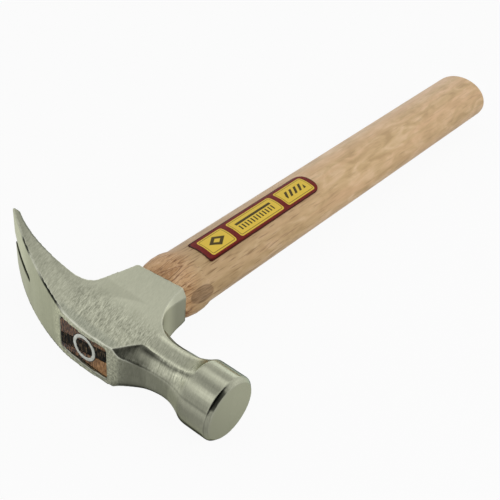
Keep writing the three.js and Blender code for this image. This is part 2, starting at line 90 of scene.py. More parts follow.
# Stretches along the head: where each starts and ends, and over what length it fades
EDGE_SHADE_NEAR_SLOT = (-52.0 * MM, -39.0 * MM, 3.0 * MM)
EDGE_SHADE_NEAR_EYE = (-31.0 * MM, -5.0 * MM, 7.0 * MM)
EYE_RIM = (-16.0 * MM, 30.0 * MM, 6.0 * MM)
EYE_EDGE_ALONG = (-14.0 * MM, 27.0 * MM, 6.0 * MM)
HATCHED_ALONG = (-14.0 * MM, 60.0 * MM, 8.0 * MM)
THROAT_ALONG = (14.0 * MM, 34.0 * MM, 4.0 * MM)
NECK_SIDES = (17.0 * MM, 58.0 * MM, 6.0 * MM)
NECK_UNDERSIDE = (22.0 * MM, 52.0 * MM, 5.0 * MM)
POCKET = (25.0 * MM, 42.0 * MM, 6.0 * MM)
POLL_BANDS = (26.0 * MM, 72.75 * MM, 2.0 * MM)
POLL = (29.5 * MM, 73.75 * MM, 3.0 * MM)
NECK = (29.5 * MM, 58.0 * MM, 3.0 * MM)
NECK_FLATS = (29.5 * MM, 58.0 * MM, 6.0 * MM)
FILLET = (43.0 * MM, 58.0 * MM, 2.0 * MM)
FILLET_LIGHT = (43.0 * MM, 58.0 * MM, 3.0 * MM)
BELL_UNDERSIDE = (52.0 * MM, 69.0 * MM, 3.0 * MM)
BELL = (54.0 * MM, 73.75 * MM, 4.0 * MM)

# Stretches down the head, from the crown to the handle
HATCHED_DOWN = (-190.0 * MM, -138.0 * MM, 12.0 * MM)
EYE_EDGE_DOWN = (-166.0 * MM, -159.5 * MM, 2.0 * MM)
SKIRT = (-150.0 * MM, -110.0 * MM, 10.0 * MM)
THROAT_DOWN = (-148.0 * MM, -124.0 * MM, 6.0 * MM)

# Where a finish, a painted light or a painted shade of the head sets in, and over what length
CLAW = (-18.0 * MM, 24.0 * MM)
CLAW_TIPS = (-40.0 * MM, 14.0 * MM)
POLISH = (50.0 * MM, 16.0 * MM)
EDGE_UP_TO_BELL = (58.0 * MM, 4.0 * MM)
LOW_ON_FACE = (-152.0 * MM, 10.0 * MM)
LOWEST_EDGE = (3.6 * MM, 2.2 * MM)
BEVEL_START = 69.0 * MM
SLOT_ROOT = -43.7 * MM
SLOT_REACH = 3.2 * MM

# The painted shade along the neck's ridge turns a little towards the cheek as it nears the bell
RIDGE_BEND = (45.0 * MM, 17.0 * MM)
RIDGE_DRIFT = 0.044

# Turns round the bell's axis from the crown's side to the cheek, in half turns plus a quarter
POCKET_TURN = (0.43, 0.63, 0.02)
CRESCENT_TURN = (0.44, 0.68, 0.03)
SPECKED_TURN = (0.78, 1.3, 0.05)

# Parts of the outward direction: towards the striking face, towards the butt, and across the cheeks
FACING_FRONT = (0.75, 1 / 6)
FACING_CROWN = (-0.6, 0.2)
FACING_CHEEK = (0.6, 0.2)
CORNER_UPRIGHT = (0.3, 0.75, 0.05)
THROAT_FORWARD = (0.5, 1.2, 0.2)
FILLET_BACKWARD = (-0.8, -0.15, 0.1)
FILLET_TO_CROWN = (-1.2, -0.35, 0.15)
HOLLOW_FORWARD = (0.22, 0.6, 0.1)
BEVEL_FORWARD = (0.32, 0.86, 0.12)
CORNER_LEAST_FORWARD = 0.6
FACE_LEAST_FORWARD = 0.9
HOLLOW_MOST_TO_BUTT = -0.7
CROWN_EDGE_MOST_TO_BUTT = -0.2
INNER_EDGE_LEAST_TO_BUTT = 0.1
INSIDE_LEAST_TO_BUTT = 0.2
NECK_SIDE_MOST_UPRIGHT = 0.3
SLOT_WALL_UPRIGHT = 0.5
OUTER_SIDE_MOST_UPRIGHT = 0.5
LOW_EDGE_MOST_UPRIGHT = 0.6
NECK_FLAT_LEAST_UPRIGHT = 0.9
POCKET_MOST_UPRIGHT = 0.96

# How much finer than the cheeks each part of the head is ground
FINER = {
    "bell": 0.65, "crown": 0.5, "striking face": 1.0, "pocket": 0.6, "neck flats": 0.5, "neck sides": 0.75,
}

# How much paler or darker than the cheeks each part of the head is painted, as painted light and shade
PAINTED_LIGHT_BY_PART = {
    "claw's cheeks": -0.17, "claw's outer side": 0.5, "claw's tips": -0.22,
    "skirt's cheeks": 0.22, "skirt's corners": 0.35, "throat": 0.55,
    "neck's hollow": -0.25, "fillet": 0.35, "low on face": -0.35,
}

# How little the edges of each part of the head are painted bright, as wear and as painted highlight
LESS_WEAR_AND_HIGHLIGHT = {"poll": 0.85, "claw": 0.5, "skirt": 0.5, "bevel": 0.9}

# How strongly the head's other finishes, painted highlights and painted shades show
SCRATCHES = 0.75
SCRATCHES_ADDED_BY_HATCHING = 0.75
SCRATCHES_LOST_ON_SKIRT = 0.7
SPECKS = 0.22
BELL_SPECKS = 0.5
BELL_SPECKS_LEVEL = -0.2
BELL_UNDERSIDE_SHADE = 0.55
EYE_RIM_MOTTLE = 2.4
EYE_RIM_LEVEL = -0.88
EYE_EDGE_SHADE = 0.4
CRESCENT_SHADE = 0.75
UPPER_BEVEL_SHADE = 0.2
EDGE_WEAR_AND_HIGHLIGHT = 0.9
HOLLOW_SHADE_STRENGTH = 0.35
LOWER_EDGE_SHADE = 0.5
INNER_EDGE_SHADE = 0.7
EDGE_SHADE_BY_SLOT = 0.95
POLISH_STRENGTH = 0.15
STEEL_BUMP = 0.4

# The head's marks: how long and wide they are, how they are turned, and how deep
SCRATCH_SIZE = (0.5 * MM, 2.6 * MM, 2.6 * MM)
SCRATCH_TURN = 20.0
GRIT_SIZE = (0.45 * MM,) * 3
MOTTLE_SIZE = (0.9 * MM,) * 3
STEEL_RELIEF = 0.05 * MM

# Colours of the steel, and of its painted highlights and shades
DARK_STROKE = (0.2, 0.204, 0.155)
PALE_STROKE = (0.52, 0.525, 0.407)
WORN_HIGHLIT_EDGE = (0.7, 0.71, 0.59)
PAINTED_HOLLOW_SHADE = (0.14, 0.14, 0.11)
SHADED_EDGE = (0.21, 0.225, 0.185)
BEVEL_CRESCENT = (0.035, 0.038, 0.03)
LOWER_EDGE = (0.03, 0.035, 0.03)
INNER_EDGE = (0.09, 0.1, 0.085)
SLOT_BLACK = (0.012, 0.012, 0.01)
PAINTED_EDGE_SHADE = (0.02, 0.022, 0.018)
STEEL_TINT = (0.8, 0.82, 0.68)
INSIDE_TINT = (0.58, 0.68, 0.66)

# Steel that turns away from the eye mirrors less: sooner on the poll, later on its inside, fillet and claw
RIM_FROM = 0.82
RIM_TO = 0.97
RIM_LEFT = 0.35
RIM_SOONER = 0.19
RIM_LATER_INSIDE = 0.7
RIM_LATER_ON_FILLET = 1.6
RIM_LATER_ON_CLAW = 2.0
RIM_ROUGHER = 0.45

# The ring wedge
RING_SCRATCH_SIZE = (0.8 * MM, 2.0 * MM, 0.8 * MM)
RING_RELIEF = 0.06 * MM
RING_BUMP = 0.3

# The handle's grain: the size of each mark across and along the wood
BAND_SIZE = (8.0 * MM, 110.0 * MM)
MOTTLED_SIZE = (5.5 * MM, 17.0 * MM)
FIBRE_SIZE = (0.8 * MM, 16.0 * MM)
PORE_SIZE = (0.85 * MM, 11.0 * MM)
WOOD_RELIEF = 0.35 * MM
WOOD_BUMP = 0.5
FIBRE_HEIGHT = 0.3

# The grip: its pores fade away from the head, and it is darker near the head and paler towards the butt
PORES_NEAR_HEAD = (0.0, 80.0 * MM)
PORE_STRENGTH = 0.22
PORE_STRENGTH_ADDED_NEAR_HEAD = 0.55
LIGHTER_TOWARDS_BUTT = (-93.5 * MM, 110.0 * MM)

# The handle's shoulder lies between the skirt and this curved crease
SHOULDER_CREASE = -101.0 * MM
SHOULDER_CREASE_CURVE = 22.0
CREASE_BLEND = (-5.4 * MM, 9.0 * MM)
SHOULDER_FLAT_MIDDLE = (21.0 * MM, -107.0 * MM, 21.0 * MM)
SHOULDER_FLAT_REACH = (8.0 * MM, 7.2 * MM, 4.8 * MM)
SHOULDER_FLAT_SHADE = 0.75
SHOULDER_PORE_STRENGTH = 0.65
TEAR_SIZE = (1.1 * MM, 2.6 * MM, 1.1 * MM)
GROWTH_RING_SIZE = (4.0 * MM, 48.0 * MM, 4.0 * MM)
GROWTH_RING_TURN = -6.0

# The tenon's end: its streaks, and the paler wood on the face's side, most below the wooden wedge
TENON_SIDE = (-162.6 * MM, 1.0 * MM)
END_STREAK_SIZE = (0.5 * MM, 4.0 * MM, 2.4 * MM)
END_STREAK_TURN = 12.0
PALER_END = (7.0 * MM, 8.0 * MM)
PALER_END_STRENGTH = 0.25
PALER_END_ADDED_BELOW = 0.7

# The wooden wedge
WEDGE_STREAK_SIZE = (0.6 * MM, 8.0 * MM, 3.0 * MM)
WEDGE_STREAK_TURN = 20.0
WEDGE_RELIEF = 0.1 * MM
WEDGE_BUMP = 0.3

# Colours of the wood
PORE = (0.22, 0.115, 0.045)
WARM_BAND = (0.66, 0.42, 0.24)
DARK_FIBRE = (0.4, 0.25, 0.115)
DARKER_TINT = (0.8, 0.8, 0.8)
SHOULDER_PORE = (0.15, 0.07, 0.025)
TORN_DARK = (0.22, 0.11, 0.04)
TORN_PALE = (0.68, 0.46, 0.29)
GROWTH_RING = (0.16, 0.065, 0.025)
WHITE = (1.0, 1.0, 1.0)

# The label's middle on the handle, and the mottling of its ink
LABEL_MIDDLE = (6.95 * MM, -51.8 * MM, 0.0)
INK_SIZE = (1.1 * MM,) * 3

# The label's print, in millimetres from its middle: widths go across the handle, lengths along it
PRINT_HALF_WIDTH = 6.95
PRINT_HALF_LENGTH = 42.45
PRINT_CORNER = 2.2
PANEL_ACROSS = 0.3
PANEL_HALF_WIDTH = 5.5
PANEL_CORNER = 1.4
DIAMOND_PLACE = -31.0
DIAMOND_PANEL_HALF_LENGTH = 8.6
RULER_PLACE = -2.5
RULER_PANEL_HALF_LENGTH = 16.6
BARS_PLACE = 28.6
BARS_PANEL_HALF_LENGTH = 11.2

# The thin rule in each panel runs between these insets, each with its corner
RULE_OUTSIDE = (0.7, 0.9)
RULE_INSIDE = (1.05, 0.6)

# The marks in the panels
RULE_STRENGTH = 0.7
MARK_STRENGTH = 0.92
PANEL_SHARPNESS = 8.0
MARK_CORNER = 0.1
DIAMOND_SPAN = (1.3, 3.5, 0.3)
DIAMOND_SQUEEZE = 0.62
RULER_HALF_LENGTH = 13.2
TICKS_ACROSS = 1.6
TICKS_HALF_WIDTH = 1.5
TICK_STEP = 2.2
TICK_SHARE = 0.42
LINE_ACROSS = -1.4
LINE_HALF_WIDTH = 0.75
BARS_HALF_WIDTH = 2.2
BARS_HALF_LENGTH = 7.6
BAR_STEP = 3.6
BAR_SHARE = 0.5
BAR_SLANT = 0.7

# Colours of the label
LABEL_RED = (0.13, 0.009, 0.007)
LABEL_WORN_RED = (0.24, 0.02, 0.014)
LABEL_BORDER = (0.06, 0.01, 0.006)
LABEL_YELLOW = (0.68, 0.48, 0.06)
LABEL_DARK = (0.012, 0.008, 0.005)

# The floor touches the claw, the bell and the butt
FLOOR_SIZE = 6.0
FLOOR_HEIGHT = 3.36 * MM
FLOOR_SLOPE_ALONG_HEAD = 0.03262
FLOOR_SLOPE_ALONG_HANDLE = 0.00979
FLOOR_PAPER = (0.5, 0.5, 0.5, 1.0)
FLOOR_WHITE_SEEN = 0.94
FLOOR_WHITE_MIRRORED = 0.72

# Patches of floor that the steel mirrors darker or brighter: middle, reach and change of the white
FLOOR_PATCHES = (
    ((0.038, -0.186, 0.0), 0.072, -0.65),
    ((0.02, -0.1, 0.0), 0.045, -0.45),
    ((-0.1, -0.16, 0.0), 0.09, 0.4),
)

# The studio: its white, the middle of its dim patch, and the sides of the sky with the patch and the bands
STUDIO_WHITE = 0.99
DIM_PATCH = (0.42, -0.5, 0.76)
SKY_OVER_FACE = (-0.08, 0.2)
SKY_OVER_CLAW = (-0.14, 0.2)
LAMP_PLACE = (1.0, -0.1, 0.65)
LAMP_SIZE = 0.8
LAMP_POWER = 7.2


# Selecting and shaping

def select_only(piece):
    bpy.ops.object.select_all(action="DESELECT")
    piece.select_set(True)
    bpy.context.view_layer.objects.active = piece


def solid_copy(node, name):
    """A copy of a solid with its loose triangles joined, ready to be refined."""
    source = frame["nodes"][node]
    piece = bpy.data.objects.new(name, source.data.copy())
    bpy.context.collection.objects.link(piece)
    piece.data.materials.clear()
    select_only(piece)
    bpy.ops.object.mode_set(mode="EDIT")
    bpy.ops.mesh.select_all(action="SELECT")
    bpy.ops.mesh.remove_doubles(threshold=MERGE_DISTANCE)
    bpy.ops.object.mode_set(mode="OBJECT")
    return piece


def apply_modifier(piece, kind, **settings):
    select_only(piece)
    modifier = piece.modifiers.new(kind.lower(), kind)
    for name, value in settings.items():
        setattr(modifier, name, value)
    bpy.ops.object.modifier_apply(modifier=modifier.name)


def round_off(piece, steps, **settings):
    apply_modifier(piece, "SMOOTH", factor=ROUNDING_FACTOR, iterations=steps, **settings)


def bevel_edges(piece, width):
    angle = math.radians(SHARP_ANGLE)
    apply_modifier(
        piece, "BEVEL", width=width, segments=BEVEL_STEPS, limit_method="ANGLE", angle_limit=angle,
    )


def smooth_faces(piece, angle):
    select_only(piece)
    bpy.ops.object.shade_smooth_by_angle(angle=math.radians(angle))


def finish_piece(piece, node, material):
    piece.data.materials.append(material)
    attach(piece, "root")
    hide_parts(node)


# Material nodes

def new_material(name):
    material = bpy.data.materials.new(name)
    material.use_nodes = True
    material.node_tree.nodes.clear()
    return material


def set_input(tree, socket, value):
    """Gives an input a value, a colour, or another node's output."""
    if isinstance(value, bpy.types.NodeSocket):
        tree.links.new(value, socket)
    elif socket.type == "RGBA" and len(value) == 3:
        socket.default_value = (*value, 1.0)
    else:
        socket.default_value = value


def add_node(tree, kind, settings=None, **inputs):
    """Adds a node. An input goes by its name, or by the letter i and its number."""
    node = tree.nodes.new(kind)
    for name, value in (settings or {}).items():
        setattr(node, name, value)
    for name, value in inputs.items():
        place = int(name[1:]) if name[1:].isdigit() else name.replace("_", " ")
        set_input(tree, node.inputs[place], value)
    return node


def math_node(tree, operation, a, b=0.0, c=0.0, clamp=False):
    node = add_node(tree, "ShaderNodeMath", {"operation": operation, "use_clamp": clamp}, i0=a, i1=b, i2=c)
    return node.outputs[0]


def vector_math(tree, operation, a, b=(0.0, 0.0, 0.0)):
    return add_node(tree, "ShaderNodeVectorMath", {"operation": operation}, i0=a, i1=b).outputs


def plus(tree, a, b):
    return math_node(tree, "ADD", a, b)


def minus(tree, a, b):
    return math_node(tree, "SUBTRACT", a, b)


def times(tree, first, *others):
    for other in others:
        first = math_node(tree, "MULTIPLY", first, other)
    return first


def larger(tree, first, *others):
    for other in others:
        first = math_node(tree, "MAXIMUM", first, other)
    return first


def scaled(tree, value, factor, added, clamp=False):
    """A value times a factor, with something added."""
    return math_node(tree, "MULTIPLY_ADD", value, factor, added, clamp)


def over(tree, value, limit):
    return math_node(tree, "GREATER_THAN", value, limit)


def under(tree, value, limit):
    return math_node(tree, "LESS_THAN", value, limit)


def after(tree, value, start_and_run):
    """A mask that rises from 0 at a start to 1 at the end of its run."""
    start, run = start_and_run
    return scaled(tree, value, 1 / run, -start / run, clamp=True)


def before(tree, value, start_and_run):
    """A mask that rises from 0 at a start to 1 as the value falls by its run."""
    start, run = start_and_run
    return scaled(tree, value, -1 / run, start / run, clamp=True)


def within(tree, value, span):
    """A mask that is 1 where the value lies inside a span of start, end and fade."""
    start, end, fade = span
    rise = math_node(tree, "MULTIPLY", minus(tree, value, start), 1 / fade, clamp=True)
    fall = math_node(tree, "MULTIPLY", minus(tree, end, value), 1 / fade, clamp=True)
    return times(tree, rise, fall)


def ramp(tree, factor, stops):
    """A colour ramp; each stop is a place and a grey or a colour."""
    node = tree.nodes.new("ShaderNodeValToRGB")
    elements = node.color_ramp.elements
    while len(elements) < len(stops):
        elements.new(0.5)
    for element, (place, value) in zip(elements, stops):
        element.position = place
        shade = (value,) * 3 if isinstance(value, (int, float)) else value
        element.color = (*shade, 1.0)
    tree.links.new(factor, node.inputs["Fac"])
    return node.outputs["Color"]


def mix_colours(tree, factor, a, b, blend="MIX"):
    settings = {"data_type": "RGBA", "blend_type": blend}
    return add_node(tree, "ShaderNodeMix", settings, i0=factor, i6=a, i7=b).outputs[2]


def tinted(tree, a, b, share=1.0):
    """One colour times another, or a share of the way to it."""
    return mix_colours(tree, share, a, b, blend="MULTIPLY")


def placed(tree, size=(1.0, 1.0, 1.0), turn=0.0, origin=(0.0, 0.0, 0.0)):
    """The piece's own coordinates from an origin, in steps of a size, turned about the upright axis."""
    coordinates = tree.nodes.new("ShaderNodeTexCoord").outputs["Object"]
    rotation = (0.0, 0.0, math.radians(turn))
    mapping = add_node(
        tree, "ShaderNodeMapping", {"vector_type": "TEXTURE"},
        Vector=coordinates, Location=origin, Rotation=rotation, Scale=size,
    )
    return mapping.outputs["Vector"]


def parts_of(tree, vector):
    """The X, Y and Z of a vector."""
    split = add_node(tree, "ShaderNodeSeparateXYZ", Vector=vector)
    return [split.outputs[axis] for axis in "XYZ"]


def noise(tree, vector, scale=1.0, detail=2.0, roughness=0.5, distortion=0.0):
    node = add_node(
        tree, "ShaderNodeTexNoise",
        Vector=vector, Scale=scale, Detail=detail, Roughness=roughness, Distortion=distortion,
    )
    return node.outputs["Fac"]


def new_group(name, inputs, outputs):
    """A node group: inputs are name, kind and value, and outputs are the names of numbers."""
    group = bpy.data.node_groups.new(name, "ShaderNodeTree")
    for label, kind, value in inputs:
        socket = group.interface.new_socket(label, in_out="INPUT", socket_type=kind)
        if value is not None:
            socket.default_value = value
    for label in outputs:
        group.interface.new_socket(label, in_out="OUTPUT", socket_type="NodeSocketFloat")
    start = group.nodes.new("NodeGroupInput")
    end = group.nodes.new("NodeGroupOutput")
    return group, start.outputs, end.inputs


def use_group(tree, group, **inputs):
    return add_node(tree, "ShaderNodeGroup", {"node_tree": group}, **inputs).outputs


def surface(tree, **inputs):
    shader = add_node(tree, "ShaderNodeBsdfPrincipled", None, **inputs)
    add_node(tree, "ShaderNodeOutputMaterial", Surface=shader.outputs[0])


def bump(tree, height, strength, distance):
    node = add_node(tree, "ShaderNodeBump", Strength=strength, Distance=distance, Height=height)
    return node.outputs["Normal"]


# The head's steel

def grinding_group():
    """Short scratches: strokes, and a slow change from patch to patch."""
    group, given, made = new_group(
        "grinding marks", [("Vector", "NodeSocketVector", None)], ["Strokes", "Patches"],
    )
    fine = noise(group, given["Vector"], roughness=0.6, distortion=0.2)
    coarse = noise(group, given["Vector"], scale=0.4)
    strokes = plus(group, times(group, fine, 0.7), times(group, coarse, 0.3))
    group.links.new(strokes, made["Strokes"])
    group.links.new(noise(group, given["Vector"], scale=0.07), made["Patches"])
    return group


def head_places(tree):
    """Where a point of the head lies, which way it faces, and which of the main parts it is on."""
    at = SimpleNamespace()
    at.along, at.down, at.through = parts_of(tree, placed(tree))
    outward = tree.nodes.new("ShaderNodeNewGeometry").outputs["Normal"]
    at.forward, at.to_butt, sideways = parts_of(tree, outward)
    at.upright = math_node(tree, "ABSOLUTE", sideways)
    at.from_middle = math_node(tree, "ABSOLUTE", minus(tree, at.through, MIDDLE))
    round_bell = math_node(tree, "ARCTAN2", at.from_middle, minus(tree, BELL_AXIS, at.down))
    at.turn = scaled(tree, round_bell, 1 / math.pi, 0.25)
    at.wear = add_node(tree, "ShaderNodeAttribute", {"attribute_name": "wear"}).outputs["Fac"]
    at.claw = before(tree, at.along, CLAW)
    at.poll = within(tree, at.along, POLL)
    at.bell = within(tree, at.along, BELL)
    at.skirt = within(tree, at.down, SKIRT)
    at.crown = before(tree, at.to_butt, FACING_CROWN)
    at.cheek = after(tree, at.upright, FACING_CHEEK)
    return at


def scratches_left(tree, at):
    """How much of the cheeks' scratches shows on each part."""
    masks = {
        "bell": at.bell,
        "crown": at.crown,
        "striking face": after(tree, at.forward, FACING_FRONT),
        "pocket": times(tree, within(tree, at.along, POCKET), within(tree, at.turn, POCKET_TURN)),
        "neck flats": times(
            tree, within(tree, at.along, NECK_FLATS), over(tree, at.upright, NECK_FLAT_LEAST_UPRIGHT),
        ),
        "neck sides": times(
            tree, within(tree, at.along, NECK_SIDES), under(tree, at.upright, NECK_SIDE_MOST_UPRIGHT),
        ),
    }
    finer = larger(tree, *(times(tree, masks[part], share) for part, share in FINER.items()))
    hatched = times(tree, within(tree, at.along, HATCHED_ALONG), within(tree, at.down, HATCHED_DOWN))
    scratched = scaled(tree, hatched, SCRATCHES_ADDED_BY_HATCHING, SCRATCHES)
    off_skirt = scaled(tree, at.skirt, -SCRATCHES_LOST_ON_SKIRT, 1.0)
    return times(tree, scratched, off_skirt, minus(tree, 1.0, finer))


def ground_shade(tree, at, strokes):
    """The scratches and specks, dark to pale round a half."""
    scratched = scratches_left(tree, at)
    grit = noise(tree, placed(tree, GRIT_SIZE), detail=1.0)
    specked = times(tree, at.bell, within(tree, at.turn, SPECKED_TURN))
    specks = times(tree, minus(tree, grit, 0.5), scratched, SPECKS)
    bell_specks = times(tree, specked, scaled(tree, grit, BELL_SPECKS, BELL_SPECKS_LEVEL))
    specks = plus(tree, specks, bell_specks)
    return scaled(tree, minus(tree, strokes, 0.5), scratched, plus(tree, specks, 0.5))


def painted_light_bands(tree, at):
    """How the neck and bell are painted darker and lighter round their axis: painted shade and highlights
    by the ridge, painted shade in the pocket and underneath, and a crease where the grinding ends.
    """
    drift = after(tree, at.along, RIDGE_BEND)
    # Painted shade along the neck's ridge, with painted highlights and bright bands beside it
    ridge = ramp(tree, scaled(tree, drift, -RIDGE_DRIFT, at.turn), [
        (0.44, 1.0), (0.48, 1.2), (0.53, 1.2), (0.553, 0.8), (0.578, 0.38), (0.6, 0.8), (0.616, 1.6),
        (0.645, 1.1), (0.672, 0.85), (0.817, 0.85), (0.85, 1.25), (0.872, 1.5), (0.894, 1.2),
    ])
    # Painted shade in the neck's pocket
    pocket = ramp(tree, at.turn, [
        (0.43, 1.0), (0.45, 0.72), (0.52, 0.6), (0.57, 0.38), (0.6, 0.28), (0.618, 0.4), (0.63, 1.0),
    ])
    # Painted shade under the neck and bell
    underside = ramp(tree, at.turn, [(0.33, 1.0), (0.37, 0.8), (0.384, 0.45), (0.398, 0.2)])
    # The crease where the grinding ends, and painted shade on the crown's side below it
    crease = ramp(tree, at.turn, [
        (0.11, 0.6), (0.18, 0.85), (0.28, 1.0), (0.394, 1.0), (0.411, 0.68), (0.43, 1.0),
    ])
    in_pocket = times(tree, within(tree, at.along, POCKET), under(tree, at.upright, POCKET_MOST_UPRIGHT))
    below = larger(
        tree, within(tree, at.along, NECK_UNDERSIDE),
        times(tree, within(tree, at.along, BELL_UNDERSIDE), BELL_UNDERSIDE_SHADE),
    )
    below = times(tree, under(tree, at.through, MIDDLE), below)
    bands = mix_colours(tree, within(tree, at.along, NECK), WHITE, ridge)
    bands = tinted(tree, bands, pocket, in_pocket)
    bands = tinted(tree, bands, underside, below)
    return mix_colours(tree, within(tree, at.along, POLL_BANDS), bands, tinted(tree, bands, crease))


def painted_part_light(tree, at):
    """How much each part of the head is painted paler or darker as painted light and shade, and the
    mottled rim of the eye.
    """
    tips = before(tree, at.along, CLAW_TIPS)
    corners = within(tree, at.upright, CORNER_UPRIGHT)
    throat = times(tree, within(tree, at.along, THROAT_ALONG), within(tree, at.down, THROAT_DOWN))
    fillet = times(tree, within(tree, at.along, FILLET_LIGHT), within(tree, at.forward, FILLET_BACKWARD))
    outer = times(tree, under(tree, at.upright, OUTER_SIDE_MOST_UPRIGHT), over(tree, at.through, MIDDLE))
    on_face = times(tree, over(tree, at.forward, FACE_LEAST_FORWARD), at.bell)
    masks = {
        "claw's cheeks": times(tree, at.claw, at.cheek),
        "skirt's cheeks": times(tree, at.skirt, at.cheek),
        "skirt's corners": times(tree, corners, at.skirt, over(tree, at.forward, CORNER_LEAST_FORWARD)),
        "throat": times(tree, throat, within(tree, at.forward, THROAT_FORWARD)),
        "claw's outer side": times(tree, tips, outer),
        "claw's tips": times(tree, tips, at.cheek),
        "fillet": times(tree, fillet, within(tree, at.to_butt, FILLET_TO_CROWN)),
        "neck's hollow": times(
            tree, within(tree, at.forward, HOLLOW_FORWARD), under(tree, at.to_butt, HOLLOW_MOST_TO_BUTT),
        ),
        "low on face": times(tree, on_face, before(tree, at.down, LOW_ON_FACE)),
    }
    # Painted light and shade, part by part
    gain = 1.0
    for part, change in PAINTED_LIGHT_BY_PART.items():
        gain = scaled(tree, masks[part], change, gain)
    mottle = scaled(tree, noise(tree, placed(tree, MOTTLE_SIZE)), EYE_RIM_MOTTLE, EYE_RIM_LEVEL)
    eye_rim = times(tree, at.crown, within(tree, at.along, EYE_RIM))
    return scaled(tree, eye_rim, mottle, gain)


def shade_edges(tree, at, colour):
    """The cheek's painted shade along its edge beside the eye, and a painted dark crescent of shade in the
    face's bevel.
    """
    by_eye = times(tree, within(tree, at.along, EYE_EDGE_ALONG), within(tree, at.down, EYE_EDGE_DOWN))
    colour = mix_colours(tree, times(tree, by_eye, at.cheek, EYE_EDGE_SHADE), colour, SHADED_EDGE)
    bevel = times(tree, within(tree, at.forward, BEVEL_FORWARD), over(tree, at.along, BEVEL_START))
    crescent = larger(
        tree, times(tree, within(tree, at.turn, CRESCENT_TURN), CRESCENT_SHADE),
        times(tree, under(tree, at.turn, CRESCENT_TURN[0]), UPPER_BEVEL_SHADE),
    )
    # Painted dark shade in the face's bevel
    return mix_colours(tree, times(tree, crescent, bevel), colour, BEVEL_CRESCENT)


def wear_edges(tree, at, colour):
    """Edges painted bright, part wear and part painted highlight, and painted shade in hollows, then
    painted shade along the lower edges and the claw's inner edge.
    """
    bevel = over(tree, at.along, BEVEL_START)
    masks = {"poll": at.poll, "claw": at.claw, "skirt": at.skirt, "bevel": bevel}
    less_wear_and_highlight = larger(tree, *(times(tree, masks[part], share) for part, share in LESS_WEAR_AND_HIGHLIGHT.items()))
    # Bright edges: partly wear, partly painted highlight
    worn_highlight = times(tree, ramp(tree, at.wear, [(0.56, 0.0), (0.8, 1.0)]), minus(tree, EDGE_WEAR_AND_HIGHLIGHT, less_wear_and_highlight))
    # Painted shade in the hollows
    hollow = ramp(tree, at.wear, [(0.3, 1.0), (0.45, 0.0)])
    colour = mix_colours(tree, worn_highlight, colour, WORN_HIGHLIT_EDGE)
    colour = mix_colours(tree, times(tree, hollow, HOLLOW_SHADE_STRENGTH), colour, PAINTED_HOLLOW_SHADE)
    edge = ramp(tree, at.wear, [(0.52, 0.0), (0.66, 1.0)])
    # Painted shade along the lower edges, and along the lowest edge by the floor
    lower = times(tree, edge, under(tree, at.through, MIDDLE), before(tree, at.along, EDGE_UP_TO_BELL))
    lowest = before(tree, at.through, LOWEST_EDGE)
    lowest = times(tree, lowest, under(tree, at.upright, LOW_EDGE_MOST_UPRIGHT))
    lower = times(tree, larger(tree, lower, lowest), LOWER_EDGE_SHADE)
    colour = mix_colours(tree, lower, colour, LOWER_EDGE)
    # Painted dark shade along the claw's inner edges
    inner = times(tree, edge, over(tree, at.to_butt, INNER_EDGE_LEAST_TO_BUTT), at.claw)
    return mix_colours(tree, times(tree, inner, INNER_EDGE_SHADE), colour, INNER_EDGE)


def blacken_slot_and_edges(tree, at, colour):
    """The nail slot blackened, part forging scale and part painted shade, and painted black shade along
    the crown's edge by the slot and the eye.
    """
    in_slot = times(tree, under(tree, at.from_middle, SLOT_REACH), under(tree, at.along, SLOT_ROOT))
    slot_edge = ramp(tree, at.wear, [(0.5, 0.0), (0.6, 1.0)])
    in_slot = times(tree, in_slot, larger(tree, over(tree, at.upright, SLOT_WALL_UPRIGHT), slot_edge))
    # Black in the slot: part forging scale, part painted shade
    colour = mix_colours(tree, in_slot, colour, SLOT_BLACK)
    # Painted black shade along the crown's edge by the slot and the eye
    near = larger(
        tree, times(tree, within(tree, at.along, EDGE_SHADE_NEAR_SLOT), EDGE_SHADE_BY_SLOT),
        within(tree, at.along, EDGE_SHADE_NEAR_EYE),
    )
    scale = times(tree, ramp(tree, at.wear, [(0.51, 0.0), (0.62, 1.0)]), near)
    crown_edge = under(tree, at.to_butt, CROWN_EDGE_MOST_TO_BUTT)
    return mix_colours(tree, times(tree, scale, crown_edge), colour, PAINTED_EDGE_SHADE)


def rim_gloss(tree, at, inside):
    """How much the steel still mirrors where it turns away from the eye."""
    fillet = within(tree, at.along, FILLET)
    sooner = times(tree, at.poll, scaled(tree, inside, -RIM_LATER_INSIDE, 1.0))
    sooner = scaled(tree, fillet, -RIM_LATER_ON_FILLET, sooner)
    sooner = scaled(tree, at.claw, -RIM_LATER_ON_CLAW, sooner)
    away = add_node(tree, "ShaderNodeLayerWeight", Blend=0.5).outputs["Facing"]
    return ramp(tree, scaled(tree, sooner, RIM_SOONER, away), [(RIM_FROM, 1.0), (RIM_TO, RIM_LEFT)])


